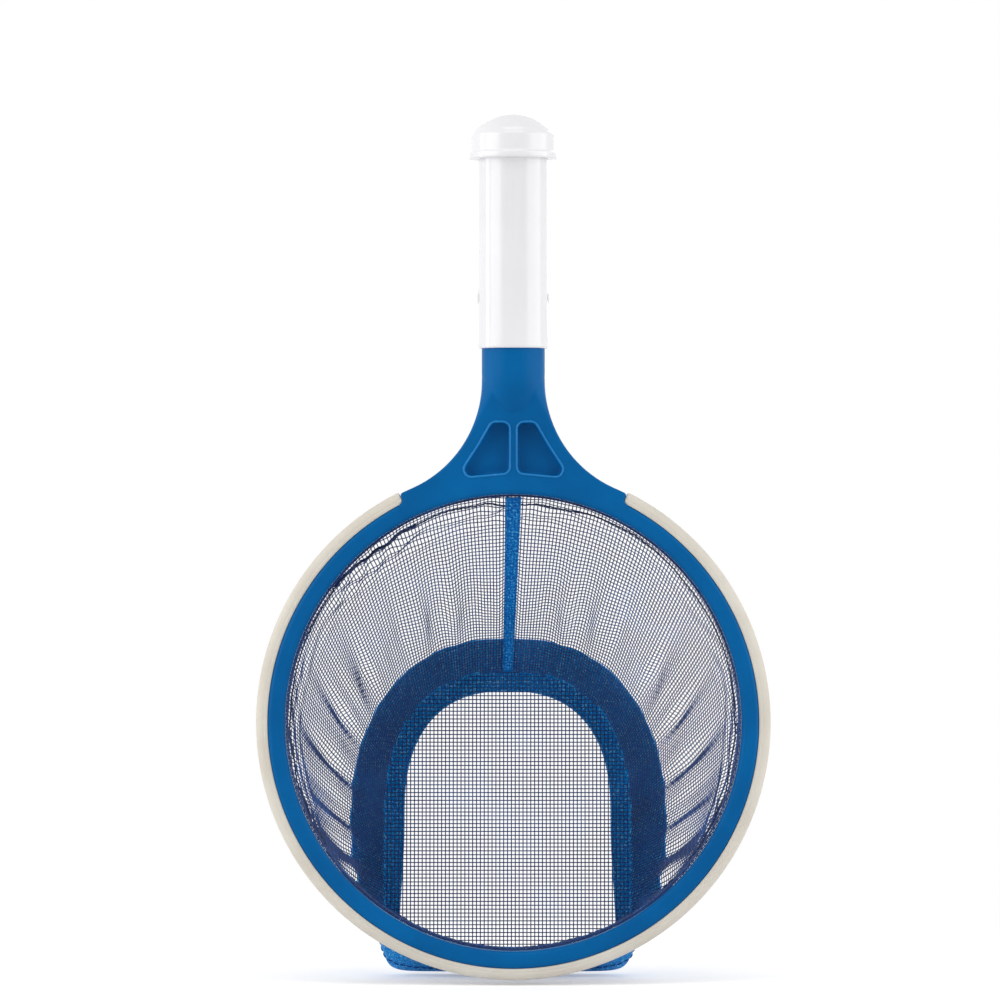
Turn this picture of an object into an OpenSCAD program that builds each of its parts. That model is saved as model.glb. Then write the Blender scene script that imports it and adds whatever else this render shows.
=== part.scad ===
// Hand-held leaf skimmer net: a round two-part hoop with a soft edge and a mesh bag,
// on a hollow spigot that takes either the short grip or a telescopic pole.
// +Z runs up the handle, -Y is the open front of the net, and the origin is on the
// handle axis, where the lower end of the grip or pole sits.

/* [Hoop] */
// Inner radius of the hoop, at the lip that the net comes out of
hoop_r = 98; // [92:0.5:104]
// Width of the blue band seen from the front
band = 7; // [6.5:0.5:9]
// Depth of the front half, from the joint to the front face
front_depth = 7; // [6.5:0.5:9]
// Depth of the rear clamp half, from the joint to the rear face
rear_depth = 6.5; // [6:0.5:8]
// Gap that the net's hem is clamped in
joint_gap = 0.6; // [0.5:0.1:0.8]
// Number of screws in the clamp ring
screws = 8; // [6:1:12]

/* [Soft edge] */
// Width of the rubber edge outside the band
edge = 5; // [4.5:0.5:7]
// Half depth of the rubber edge
edge_half = 6; // [5:0.5:6.4]
// Angle each side of the top where the rubber stops
edge_stop = 26.3; // [25:0.1:30]

/* [Neck] */
// Outer radius of the neck and spigot
neck_r = 13.5; // [13:0.1:14]
// Height of the grip's lower end above the hoop's centre
neck_rise = 160; // [158:1:166]
// Height above the hoop's centre where the neck starts to flare
flare_rise = 146; // [145:0.5:148]
// Radius of the flare from the neck to the hoop
flare_r = 50; // [49:0.5:51]
// Half thickness of the shoulder plate near the neck
shoulder_half = 9.5; // [8.5:0.5:10.5]

/* [Shoulder pockets] */
// Height of a pocket's lower inner corner above the hoop's centre
pocket_low = 107.7; // [107.5:0.1:109]
// Height of a pocket's upper edge above the hoop's centre
pocket_high = 128; // [126:0.2:130]
// Pocket depth below the shoulder's front face
pocket_depth = 4.5; // [2:0.5:5]

/* [Net bag] */
// Half width of the bag's rear panel
rear_half_w = 55; // [51:1:60]
// Half height of the bag's rear panel
rear_half_h = 65; // [60:1:68]
// How far the rear panel hangs below the hoop's centre
rear_drop = 45; // [40:1:46]
// How far back the rear panel's centre is
rear_y = 58; // [50:1:70]
// Backward lean of the rear panel's upper edge
rear_lean = 4.5; // [0:0.5:8]
// Thickness of the net as a plain solid
net_t = 0.8; // [0.6:0.1:1.2]
// Openings round the wall: a coarse grid that stands for its fine mesh
wall_openings = 48; // [24:24:48]
// Openings across the rear panel, which stand for its fine mesh
panel_openings = 12; // [6:1:12]
// Width of the tape down the wall's joining seam
tape = 7; // [5:0.5:9]
// Width of the binding on the wall, round the rear panel
binding = 20; // [14:1:24]

/* [Hand grip] */
// Outer radius of the grip tube
tube_r = 15; // [14.8:0.1:16]
// Length of the grip tube
tube_len = 90; // [86:1:110]
// Outer radius of the end cap's rim
cap_r = 19; // [17.5:0.5:20]
// Height of the whole grip, from its lower end to the top of the cap
grip_len = 101; // [98:1:120]

/* [Snap clip] */
// Radius of a snap button
button_r = 3.3; // [2.8:0.1:3.6]
// Height of the buttons above the grip's lower end
button_z = 22; // [18:1:30]
// How far a button stands proud of the grip tube
button_proud = 0.5; // [0.3:0.1:1]

/* [Hidden] */
$fn = 96;

BLUE = [0.02, 0.36, 0.61];
NAVY = [0.05, 0.18, 0.34];
TAPE_BLUE = [0.08, 0.42, 0.72];
CREAM = [0.86, 0.84, 0.78];
WHITE = [0.93, 0.93, 0.94];
STEEL = [0.72, 0.73, 0.74];

// hoop
hoop_z = -neck_rise;
band_r = hoop_r + band;
edge_r = band_r + edge;
edge_lip = 3.2;
edge_nose_r = edge * 0.58;
band_round = 2;
clamp_round = 1.6;
rib = [2.4, 1, 3];
rib_slack = 0.1;
hem_r = 1.2;
hem_at = hoop_r + 1.8;
hem_slack = 0.1;
web_t = 0.5;
web_reach = 0.8;

// clamp screws
screw_at = hoop_r + 4.3;
screw_r = 1.1;
screw_head_r = 2;
screw_head_h = 1.4;
screw_sunk = 0.2;
screw_bite = 4.5;
screw_slack = 0.1;
screw_slot = [2.4, 0.6, 1.2];

// neck and shoulder
flare_x = neck_r + flare_r;
shoulder_r = norm([flare_x, flare_rise]) - flare_r;
spigot_len = 78;
spigot_wall = 2.5;
bore_r = neck_r - spigot_wall;
root_rise = 138;
root_tip = [8, 126];
pocket_inner = 2.1;
pocket_fall = 1.7;
pocket_outer_low = 22.9;
pocket_outer_mid = [14.1, 119];
pocket_outer_high = 8.9;
pocket_round = 2.6;
pocket_slant = 1.2;
rim_w = 0.8;
rim_h = 0.4;

// net
turns = 96;
turn_angles = [for (i = [0 : turns - 1]) (i - 0.5) * 360 / turns];
bays = 10;
throat_r = hoop_r - 0.7;
throat_y0 = 0.9;
throat_y1 = rear_depth + 1;
rear_z = hoop_z - rear_drop;
round_top = 2.4;
round_low = 14;
belly_side = 4;
belly_low = 2;
belly_top = -4;
tape_t = 1;
binding_t = 1.6;
binding_lip = 2.5;
seam_gap = 0.3;
seam_share = 0.97;
panel_open_share = 0.62;
panel_rim = 3;

// grip
fit = 0.05;
tube_in = neck_r + fit;
cap_h = 20;
cap_low = grip_len - cap_h;
cap_rim_h = 3;
cap_neck_r = cap_r - 0.8;
dome_h = 9;
dome_r = (cap_neck_r * cap_neck_r + dome_h * dome_h) / (2 * dome_h);
plug_low = spigot_len + 0.2;
cap_slack = 0.02;

// snap clip
strip_t = 0.8;
strip_w = 9;
leg_x = 9;
hinge_z = -8;
leg_top = button_z + 8;
hole_r = button_r + 0.4;
bore_floor = hinge_z - leg_x - strip_t;
dome_round = 8;
stem_r = 1.2;
rivet_r = 1.8;
rivet_h = 1.4;
leg_gap = 0.1;

eps = 0.01;

// ---------- helpers ----------

// Puts the hoop's own frame in place: its axis along -Y, its +Y up.
module hoop_space() {
    translate([0, 0, hoop_z]) rotate([90, 0, 0]) children();
}

// Points of an outline with each corner rounded to radius r.
function rounded(pts, r, steps = 6) = [
    for (i = [0 : len(pts) - 1])
        let (
            p = pts[i],
            a = pts[(i + len(pts) - 1) % len(pts)] - p,
            b = pts[(i + 1) % len(pts)] - p,
            ua = a / norm(a),
            ub = b / norm(b),
            half = acos(ua * ub) / 2,
            mid = (ua + ub) / norm(ua + ub),
            c = p + mid * r / sin(half),
            a0 = atan2(-mid[1], -mid[0]),
            sweep = 90 - half,
            turn = (ua[0] * ub[1] - ua[1] * ub[0]) > 0 ? -1 : 1
        )
        for (k = [0 : steps])
            let (t = a0 + turn * sweep * (2 * k / steps - 1))
            c + r * [cos(t), sin(t)]
];

// A rectangle from [x0, y0] to [x1, y1] with its two corners at x1 rounded to r.
module nosed(x0, y0, x1, y1, r) {
    translate([x0, y0]) square([x1 - x0 - r, y1 - y0]);
    translate([x0, y0 + r]) square([x1 - x0, y1 - y0 - 2 * r]);
    for (y = [y0 + r, y1 - r]) translate([x1 - r, y]) circle(r);
}

// A closed solid between two grids of points: outer[i][j] and inner[i][j],
// where i goes round (and closes if loop is true) and j goes along.
// With grid = [a, b] it is pierced by openings, with a bar before every ath cell round
// and every bth cell along, and a closed band at both ends.
module shell(outer, inner, loop = true, grid = [1, 1]) {
    n = len(outer);
    m = len(outer[0]);
    last = loop ? n - 1 : n - 2;
    pts = [for (g = [outer, inner]) for (row = g) for (p = row) p];
    o = function (i, j) ((i + n) % n) * m + j;
    q = function (i, j) n * m + ((i + n) % n) * m + j;
    open = function (i, j) i % grid[0] > 0 && j > 0 && j < m - 1 && (j - 1) % grid[1] > 0;
    skin = [for (i = [0 : last]) for (j = [0 : m - 2]) if (!open(i, j)) each [
        [o(i, j), o(i + 1, j), o(i + 1, j + 1)], [o(i, j), o(i + 1, j + 1), o(i, j + 1)],
        [q(i, j), q(i + 1, j + 1), q(i + 1, j)], [q(i, j), q(i, j + 1), q(i + 1, j + 1)]
    ]];
    reveals = [for (i = [0 : last]) for (j = [0 : m - 2]) if (open(i, j)) each [
        if (!open(i - 1, j)) each [[o(i, j), q(i, j), q(i, j + 1)], [o(i, j), q(i, j + 1), o(i, j + 1)]],
        if (!open(i + 1, j)) each [
            [o(i + 1, j), o(i + 1, j + 1), q(i + 1, j + 1)], [o(i + 1, j), q(i + 1, j + 1), q(i + 1, j)]
        ],
        if (!open(i, j - 1)) each [[o(i, j), o(i + 1, j), q(i + 1, j)], [o(i, j), q(i + 1, j), q(i, j)]],
        if (!open(i, j + 1)) each [
            [o(i, j + 1), q(i, j + 1), q(i + 1, j + 1)], [o(i, j + 1), q(i + 1, j + 1), o(i + 1, j + 1)]
        ]
    ]];
    ends = [for (i = [0 : last]) each [
        [o(i, 0), q(i, 0), q(i + 1, 0)], [o(i, 0), q(i + 1, 0), o(i + 1, 0)],
        [o(i, m - 1), q(i + 1, m - 1), q(i, m - 1)], [o(i, m - 1), o(i + 1, m - 1), q(i + 1, m - 1)]
    ]];
    sides = loop ? [] : [for (j = [0 : m - 2]) each [
        [o(0, j), o(0, j + 1), q(0, j + 1)], [o(0, j), q(0, j + 1), q(0, j)],
        [o(n - 1, j), q(n - 1, j + 1), o(n - 1, j + 1)], [o(n - 1, j), q(n - 1, j), q(n - 1, j + 1)]
    ]];
    polyhedron(pts, concat(skin, reveals, ends, sides));
}

// ---------- hoop ----------

module hoop_half_profile(depth) {
    difference() {
        rotate(90) nosed(0, -band_r, depth, -hoop_r, band_round);
        translate([hem_at, -joint_gap / 2]) circle(hem_r + hem_slack);
    }
}

module shoulder_outline() {
    difference() {
        union() {
            polygon([[0, 0], [flare_x, flare_rise], [-flare_x, flare_rise]]);
            intersection() {
                circle(shoulder_r);
                polygon([[0, 0], for (s = [1, -1]) edge_r * 2 * [s * sin(edge_stop), cos(edge_stop)]]);
            }
        }
        for (s = [1, -1]) translate([s * flare_x, flare_rise]) circle(flare_r);
        circle(hoop_r);
    }
}

// Side view of the shoulder plate, across the hoop's depth.
module shoulder_side() {
    low = hoop_r - 20;
    polygon([
        [low, -rear_depth], [low, front_depth], [band_r, front_depth],
        [flare_rise, shoulder_half], [flare_rise, -shoulder_half], [band_r, -rear_depth]
    ]);
}

module shoulder() {
    intersection() {
        translate([0, 0, -20]) linear_extrude(40) shoulder_outline();
        translate([-80, 0, 0]) rotate([90, 0, 90]) linear_extrude(160) shoulder_side();
    }
}

// Outline of a pocket, with its lower edge falling outwards as the hoop does.
function pocket_points(side, grow) =
    let (lean = grow * pocket_slant)
    rounded([
        [side * (pocket_inner - grow), pocket_low - grow],
        [side * (pocket_outer_low + 2 * lean), pocket_low - pocket_fall - grow],
        [side * (pocket_outer_mid[0] + lean), pocket_outer_mid[1]],
        [side * (pocket_outer_high + lean), pocket_high + grow],
        [side * (pocket_inner - grow), pocket_high + grow]
    ], pocket_round + grow);

// Something laid on the sloping front face of the shoulder, with z = 0 on that face.
module on_face() {
    slope = atan((shoulder_half - front_depth) / (flare_rise - band_r));
    translate([0, band_r, front_depth]) rotate([slope, 0, 0]) translate([0, -band_r, 0]) children();
}

module neck() {
    rotate([-90, 0, 0]) {
        translate([0, 0, root_rise]) cylinder(neck_rise + spigot_len - root_rise, r = neck_r);
        translate([0, 0, root_tip[1]]) cylinder(root_rise - root_tip[1], root_tip[0], neck_r);
    }
}

module rubber_profile(grow = 0) {
    difference() {
        nosed(band_r - grow, -edge_half - grow, edge_r + grow, edge_half + grow, edge_lip);
        translate([band_r - grow - edge_lip, -edge_half - 1]) square([edge_lip, 2 * edge_half + 2]);
        translate([band_r - eps - grow, rib[1] - rib_slack])
            square([rib[0] + rib_slack + grow, rib[2] - rib[1] + 2 * rib_slack]);
    }
}

// The strip runs round the bottom between the two stops and ends in round noses.
module rubber_body(grow = 0) {
    stop = edge_stop + asin(edge_nose_r / band_r);
    difference() {
        rotate_extrude() rubber_profile(grow);
        translate([0, 0, -edge_half - 5]) linear_extrude(2 * edge_half + 10) difference() {
            polygon([[0, 0], for (s = [1, -1]) 2 * edge_r * [s * sin(stop), cos(stop)]]);
            for (s = [1, -1])
                translate((band_r + edge / 2) * [s * sin(stop), cos(stop)]) circle(edge_nose_r + grow);
        }
    }
}

module screw_ring() {
    for (i = [0 : screws - 1])
        rotate([0, 0, 90 + (i + 0.5) * 360 / screws]) translate([screw_at, 0, 0]) children();
}

module scoop_frame() color(BLUE) hoop_space() difference() {
    union() {
        rotate_extrude() hoop_half_profile(front_depth);
        rotate_extrude() translate([band_r - eps, rib[1]]) square([rib[0] + eps, rib[2] - rib[1]]);
        difference() {
            shoulder();
            translate([0, 0, -rear_depth - 5]) cylinder(rear_depth + 5, r = band_r + 0.2);
            translate([0, 0, -eps]) cylinder(front_depth - 1, r = band_r - 1);
            rubber_body(0.1);
        }
        neck();
        on_face() for (s = [1, -1])
            translate([0, 0, -1]) linear_extrude(1 + rim_h) polygon(pocket_points(s, rim_w));
    }
    on_face() for (s = [1, -1])
        translate([0, 0, -pocket_depth]) linear_extrude(pocket_depth + 5) polygon(pocket_points(s, 0));
    // the hollow spigot, and the holes that the snap buttons come through
    rotate([-90, 0, 0]) translate([0, 0, neck_rise + bore_floor])
        cylinder(spigot_len - bore_floor + 1, r = bore_r);
    translate([0, neck_rise + button_z, 0]) rotate([0, 90, 0])
        cylinder(4 * neck_r, r = hole_r, center = true);
    screw_ring() translate([0, 0, -eps]) cylinder(screw_bite + 0.5, r = screw_r + screw_slack / 2);
}

module clamp_ring() color(BLUE) hoop_space() difference() {
    translate([0, 0, -joint_gap]) mirror([0, 0, 1])
        rotate_extrude() difference() {
            rotate(90) nosed(0, -band_r, rear_depth - joint_gap, -hoop_r, clamp_round);
            translate([hem_at, -joint_gap / 2]) circle(hem_r + hem_slack);
        }
    screw_ring() {
        translate([0, 0, -rear_depth - 1]) cylinder(rear_depth + 2, r = screw_r + screw_slack);
        translate([0, 0, -rear_depth - 1])
            cylinder(1 + screw_sunk + screw_head_h, r = screw_head_r + 2 * screw_slack);
    }
}

module clamp_screws() color(STEEL) hoop_space() screw_ring() {
    head_z = -rear_depth + screw_sunk;
    difference() {
        union() {
            translate([0, 0, head_z]) cylinder(screw_head_h, r = screw_head_r);
            translate([0, 0, head_z]) cylinder(screw_bite - head_z, r = screw_r);
        }
        for (a = [0, 90]) rotate([0, 0, a])
            translate([0, 0, head_z]) cube(screw_slot, center = true);
    }
}

module rubber_edge() color(CREAM) hoop_space() rubber_body();

// ---------- net bag ----------

module net_hem() color(NAVY) hoop_space() rotate_extrude() {
    translate([hem_at, -joint_gap / 2]) circle(hem_r);
    translate([throat_r - web_reach, -(joint_gap + web_t) / 2]) square([hem_at - throat_r + web_reach, web_t]);
}

// Radius of the rear panel's outline at angle a from its top.
function outline_r(a) =
    let (n = cos(a) > 0 ? round_top : round_low)
    pow(pow(abs(sin(a)) / rear_half_w, n) + pow(abs(cos(a)) / rear_half_h, n), -1 / n);

// A point of the rear panel's plane: r out from its centre at angle a, and off behind it.
function rear_point(a, r, off = 0) = [
    r * sin(a),
    rear_y + r * cos(a) * sin(rear_lean) + off * cos(rear_lean),
    rear_z + r * cos(a) * cos(rear_lean) - off * sin(rear_lean)
];

// How far the wall bellies out, half way back: more at the sides, inwards at the top.
function belly(a) = belly_side * pow(sin(a), 2) + (cos(a) > 0 ? belly_top : belly_low) * pow(cos(a), 2);

// A point of the bag's wall: v = 0 at the mouth and 1 at the rear panel, off outwards.
function wall_point(a, v, off = 0) =
    let (
        out = [sin(a), 0, cos(a)],
        mouth = [0, throat_y1, hoop_z] + throat_r * out,
        rear = rear_point(a, outline_r(a))
    )
    mouth + (rear - mouth) * v + out * (belly(a) * sin(180 * v) + off);

function throat_point(a, off) = [0, throat_y0, hoop_z] + (throat_r + off) * [sin(a), 0, cos(a)];

function wall_row(a, off) =
    [throat_point(a, off), for (j = [0 : bays]) wall_point(a, j / bays, off)];

module net_wall() color(NAVY) shell(
    [for (a = turn_angles) wall_row(a, 0)],
    [for (a = turn_angles) wall_row(a, -net_t)],
    grid = [turns / wall_openings, 3]
);

module net_base() color(NAVY) {
    turned = [for (a = turn_angles) (outline_r(a) - net_t - seam_gap) * [sin(a), cos(a)]];
    pitch = 2 * rear_half_w / panel_openings;
    rows = floor(rear_half_h / pitch);
    translate([0, rear_y, rear_z]) rotate([90 - rear_lean, 0, 0])
        translate([0, 0, -net_t]) linear_extrude(net_t) difference() {
            polygon(turned);
            for (x = [0.5 - panel_openings / 2 : panel_openings / 2]) for (y = [-rows : rows])
                if (in_panel(pitch * x, pitch * y, 0.6 * pitch))
                    translate(pitch * [x, y]) square(pitch * panel_open_share, center = true);
        }
}

// True where a square of the given half width at [x, y] lies inside the rear panel's rim.
function in_panel(x, y, half) =
    let (u = abs(x) + half, v = abs(y) + half, n = y > 0 ? round_top : round_low)
    pow(u / (rear_half_w - panel_rim), n) + pow(v / (rear_half_h - panel_rim), n) < 1;

// Points down the wall at angle a, as far as the tape on its joining seam goes.
function seam_row(a, off) =
    [throat_point(a, off), for (j = [0 : bays]) wall_point(a, j / bays * seam_share, off)];

// Tape over the wall's joining seam, down the inside of the bag at the top centre.
module net_side_seam() color(TAPE_BLUE) {
    half = asin(tape / 2 / throat_r);
    shell(
        [for (a = [-half, 0, half]) seam_row(a, -net_t - seam_gap)],
        [for (a = [-half, 0, half]) seam_row(a, -net_t - seam_gap - tape_t)],
        loop = false
    );
}

// Points of the binding at angle a: along the last stretch of the wall, then past its edge.
function binding_row(a, off) =
    let (
        reach = norm(wall_point(a, 1) - wall_point(a, 0)),
        start = 1 - binding / reach
    )
    [
        for (j = [0 : 4]) wall_point(a, start + (1 - start) * j / 4, off),
        wall_point(a, 1, off) + rear_point(a, 0, binding_lip) - rear_point(a, 0)
    ];

// Binding over the edge where the wall meets the rear panel.
module net_base_seam() color(TAPE_BLUE) shell(
    [for (a = turn_angles) binding_row(a, seam_gap + binding_t)],
    [for (a = turn_angles) binding_row(a, seam_gap)]
);

// ---------- grip ----------

module button_holes() {
    translate([0, 0, button_z]) rotate([0, 90, 0]) cylinder(4 * tube_r, r = hole_r, center = true);
}

module grip_tube() color(WHITE) difference() {
    cylinder(tube_len, r = tube_r);
    translate([0, 0, -1]) cylinder(tube_len + 2, r = tube_in);
    button_holes();
}

module end_cap() color(WHITE) rotate_extrude() difference() {
    union() {
        translate([0, cap_low]) square([cap_r, cap_rim_h]);
        translate([0, cap_low]) square([cap_neck_r, cap_h - dome_h]);
        intersection() {
            translate([0, grip_len - dome_r]) circle(dome_r);
            translate([0, grip_len - dome_h - eps]) square([cap_neck_r, dome_h + 1]);
        }
    }
    // socket for the tube's upper end, round the plug that goes inside it
    translate([tube_in - fit, cap_low - 1]) square([tube_r - tube_in + fit + cap_slack, tube_len - cap_low + 1]);
    translate([-1, cap_low - 1]) square([tube_in + 1, plug_low - cap_low + 1]);
    translate([-1, cap_low - 1]) square([bore_r + 1, tube_len - 6 - cap_low + 1]);
}

// ---------- snap clip ----------

module clip_bend() color(STEEL) intersection() {
    translate([0, 0, hinge_z]) rotate([90, 0, 0]) difference() {
        cylinder(strip_w, r = leg_x + strip_t, center = true);
        cylinder(strip_w + 2, r = leg_x, center = true);
    }
    translate([-neck_r, -neck_r, hinge_z - 2 * neck_r]) cube(2 * neck_r);
}

module clip_leg(side) color(STEEL) difference() {
    x0 = side > 0 ? leg_x : -leg_x - strip_t;
    translate([x0, -strip_w / 2, hinge_z + leg_gap])
        cube([strip_t, strip_w, leg_top - hinge_z - leg_gap]);
    translate([side * leg_x, 0, button_z]) rotate([0, 90, 0])
        cylinder(4 * strip_t, r = stem_r + leg_gap, center = true);
}

// A domed button outside the strip, on a stem with a riveted head inside it.
module button(side) color(WHITE) {
    tip = tube_r + button_proud;
    translate([0, 0, button_z]) rotate([0, side * 90, 0]) {
        intersection() {
            translate([0, 0, leg_x + strip_t]) cylinder(tip - leg_x - strip_t, r = button_r);
            translate([0, 0, tip - dome_round]) sphere(dome_round);
        }
        translate([0, 0, leg_x - rivet_h]) cylinder(strip_t + rivet_h + eps, r = stem_r);
        translate([0, 0, leg_x - rivet_h]) cylinder(rivet_h, r = rivet_r);
    }
}

module left_clip_leg() clip_leg(-1);
module right_clip_leg() clip_leg(1);
module left_button() button(-1);
module right_button() button(1);

scoop_frame();
clamp_ring();
clamp_screws();
rubber_edge();
net_hem();
net_wall();
net_base();
net_side_seam();
net_base_seam();
grip_tube();
end_cap();
clip_bend();
left_clip_leg();
right_clip_leg();
left_button();
right_button();
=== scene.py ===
# %% [markdown]
# # A leaf skimmer net
# The solid model of this scoop is exact but plain. Here each piece gets the shape and the
# finish of the real one: a satin blue moulding, a cream rubber edge, a woven mesh bag with
# taped seams, and a glossy white grip. +Z runs up the handle, -Y is the open front of the
# net, and the hoop's centre is at z = -0.160. Blender works in metres, the outlines in mm.

# %% Load the plain model
import math
import bpy
import bmesh
import numpy as np
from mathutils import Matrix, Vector


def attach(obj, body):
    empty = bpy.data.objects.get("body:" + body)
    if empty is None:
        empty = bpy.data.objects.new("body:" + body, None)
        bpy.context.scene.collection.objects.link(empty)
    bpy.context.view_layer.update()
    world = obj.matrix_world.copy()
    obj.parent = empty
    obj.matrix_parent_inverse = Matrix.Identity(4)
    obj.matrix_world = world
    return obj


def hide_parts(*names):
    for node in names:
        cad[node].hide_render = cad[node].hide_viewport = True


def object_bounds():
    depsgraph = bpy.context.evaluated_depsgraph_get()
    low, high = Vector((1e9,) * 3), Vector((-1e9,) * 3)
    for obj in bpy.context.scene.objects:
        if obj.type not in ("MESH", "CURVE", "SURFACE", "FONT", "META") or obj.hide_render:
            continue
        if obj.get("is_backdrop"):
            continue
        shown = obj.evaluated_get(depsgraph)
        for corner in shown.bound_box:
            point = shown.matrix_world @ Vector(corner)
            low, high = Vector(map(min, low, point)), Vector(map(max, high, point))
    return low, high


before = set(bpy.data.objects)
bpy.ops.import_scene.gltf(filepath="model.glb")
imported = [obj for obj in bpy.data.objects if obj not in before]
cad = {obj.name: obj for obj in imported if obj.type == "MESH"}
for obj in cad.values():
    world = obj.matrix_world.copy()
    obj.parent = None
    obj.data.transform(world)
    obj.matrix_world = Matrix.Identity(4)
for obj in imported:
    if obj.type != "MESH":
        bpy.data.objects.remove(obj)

cad_box = [list(corner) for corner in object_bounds()]
MM = 0.001
HOOP_Z = -0.160
HUB = HOOP_Z / MM  # the same height in mm, from which every rise is counted
print("solid pieces:", len(cad), "box:", [round(c, 4) for c in cad_box[0] + cad_box[1]])

# %% [markdown]
# ## Hand tools
# An operator acts on whatever is selected, so every step starts from nothing selected and
# picks what it needs. These helpers see to that and keep each later cell short.

# %% Selecting and editing
def activate(piece):
    """Leaves edit mode and selects this piece alone."""
    if bpy.context.mode != "OBJECT":
        bpy.ops.object.mode_set(mode="OBJECT")
    bpy.ops.object.select_all(action="DESELECT")
    piece.select_set(True)
    bpy.context.view_layer.objects.active = piece

def edit(piece):
    """Goes into edit mode with the whole piece selected."""
    activate(piece)
    bpy.ops.object.mode_set(mode="EDIT")
    bpy.ops.mesh.select_all(action="SELECT")

def done_editing():
    bpy.ops.object.mode_set(mode="OBJECT")

def outward(piece, merge=True):
    """Merges doubles and turns every face outwards."""
    edit(piece)
    if merge:
        bpy.ops.mesh.remove_doubles(threshold=0.01 * MM)
    bpy.ops.mesh.normals_make_consistent()
    done_editing()
    return piece

def modifier(piece, kind, **settings):
    """Adds a modifier, sets it and applies it."""
    activate(piece)
    mod = piece.modifiers.new(kind.title(), kind)
    for name, value in settings.items():
        setattr(mod, name, value)
    bpy.ops.object.modifier_apply(modifier=mod.name)

def count(piece):
    """How many triangles the piece has."""
    return sum(len(face.vertices) - 2 for face in piece.data.polygons)

def place_new(name, data):
    """Puts a new object with this data into the scene."""
    piece = bpy.data.objects.new(name, data)
    bpy.context.scene.collection.objects.link(piece)
    return piece

def finish_piece(piece, slot, material, *nodes, degrees, body="frame"):
    """Shades the piece smooth, and hands it to its body in place of the named solids."""
    activate(piece)
    bpy.ops.object.transform_apply()
    bpy.ops.object.shade_smooth_by_angle(angle=math.radians(degrees))
    piece.data.materials.append(material)
    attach(piece, body)
    if nodes:
        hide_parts(*nodes)
    print(piece.name, count(piece), "triangles")

# %% [markdown]
# ## Outlines, spins and lofts
# Nearly everything on a hoop is an outline that runs round it. An outline starts as a circle
# of loose edges, its points are laid where the drawing says, and then it is spun, filled
# and extruded, or carried along from ring to ring.

# %% Outlines
def wire(name, points):
    """A closed loop of edges through the points, in mm."""
    bpy.ops.mesh.primitive_circle_add(vertices=len(points))
    piece = bpy.context.object
    piece.name = name
    for vertex, point in zip(piece.data.vertices, points):
        vertex.co = Vector(point) * MM
    return piece

def arc(cx, cy, r, a0, a1, steps):
    """Points of an arc, angles in degrees from +x towards +y."""
    turns = [math.radians(a0 + (a1 - a0) * k / steps) for k in range(steps + 1)]
    return [(cx + r * math.cos(t), cy + r * math.sin(t)) for t in turns]

def polar(r, degrees):
    """Sideways place and rise of a point r from the hoop's centre, clockwise from its top."""
    return (r * math.sin(math.radians(degrees)), r * math.cos(math.radians(degrees)))

def rounded(points, radii, steps=6):
    """The outline with each corner rounded to its own radius."""
    out = []
    for i, point in enumerate(points):
        p = Vector(point)
        a = (Vector(points[i - 1]) - p).normalized()
        b = (Vector(points[(i + 1) % len(points)]) - p).normalized()
        half = math.acos(max(-1, min(1, a.dot(b)))) / 2
        mid = (a + b).normalized()
        centre = p + mid * radii[i] / math.sin(half)
        start = math.atan2(-mid.y, -mid.x)
        turn = -1 if (a.x * b.y - a.y * b.x) > 0 else 1
        for k in range(steps + 1):
            t = start + turn * (math.pi / 2 - half) * (2 * k / steps - 1)
            out.append((centre.x + radii[i] * math.cos(t), centre.y + radii[i] * math.sin(t)))
    return out

# %% Pieces from outlines
def spin(steps, angle, centre, axis):
    bpy.ops.mesh.spin(steps=steps, angle=angle, use_auto_merge=False, center=centre, axis=axis)

def spun(name, outline, start=0, sweep=360, steps=240):
    """Spins an outline of (radius, y) points about the hoop's axis."""
    places = [(polar(r, start), y) for r, y in outline]
    piece = wire(name, [(x, y, HUB + rise) for (x, rise), y in places])
    edit(piece)
    if sweep < 360:
        bpy.ops.mesh.edge_face_add()
    spin(steps, math.radians(sweep), (0, 0, HOOP_Z), (0, -1, 0))
    return outward(piece)

def lathe(name, outline):
    """Spins an outline of (radius, z) points about the handle's axis."""
    piece = wire(name, [(r, 0, z) for r, z in outline])
    edit(piece)
    spin(128, math.tau, (0, 0, 0), (0, 0, 1))
    return outward(piece)

def loft(name, rings):
    """Carries a ring from place to place by extruding it, and closes both ends."""
    def bearing(p):
        return math.atan2(p[1], p[0])
    piece = wire(name, rings[0])
    edit(piece)
    bpy.ops.mesh.edge_face_add()
    for ring in rings[1:]:
        bpy.ops.mesh.extrude_region_move()
        shape = bmesh.from_edit_mesh(piece.data)
        fresh = sorted((v for v in shape.verts if v.select), key=lambda v: bearing(v.co))
        for vertex, point in zip(fresh, sorted(ring, key=bearing)):
            vertex.co = Vector(point) * MM
        bmesh.update_edit_mesh(piece.data)
    return outward(piece)

def slab(name, outline, y0, y1):
    """Fills an outline of (x, rise) points over the hoop's centre and extrudes it in y."""
    piece = wire(name, [(x, y0, HUB + rise) for x, rise in outline])
    edit(piece)
    bpy.ops.mesh.edge_face_add()
    bpy.ops.mesh.extrude_region_move(TRANSFORM_OT_translate={"value": (0, (y1 - y0) * MM, 0)})
    return outward(piece)

# %% Joining and cutting
ALONG_X = (0, math.pi / 2, 0)
ALONG_Y = (math.pi / 2, 0, 0)

def joined(name, *pieces):
    activate(pieces[0])
    for piece in pieces[1:]:
        piece.select_set(True)
    bpy.ops.object.join()
    pieces[0].name = name
    return pieces[0]

def rod(radius, long, place, turn=(0, 0, 0), sides=200):
    """A cylinder to cut with, its sizes and its place in mm."""
    bpy.ops.mesh.primitive_cylinder_add(vertices=sides, radius=radius * MM, depth=long * MM,
                                        location=[c * MM for c in place], rotation=turn)
    bpy.ops.object.transform_apply()
    return bpy.context.object

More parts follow.
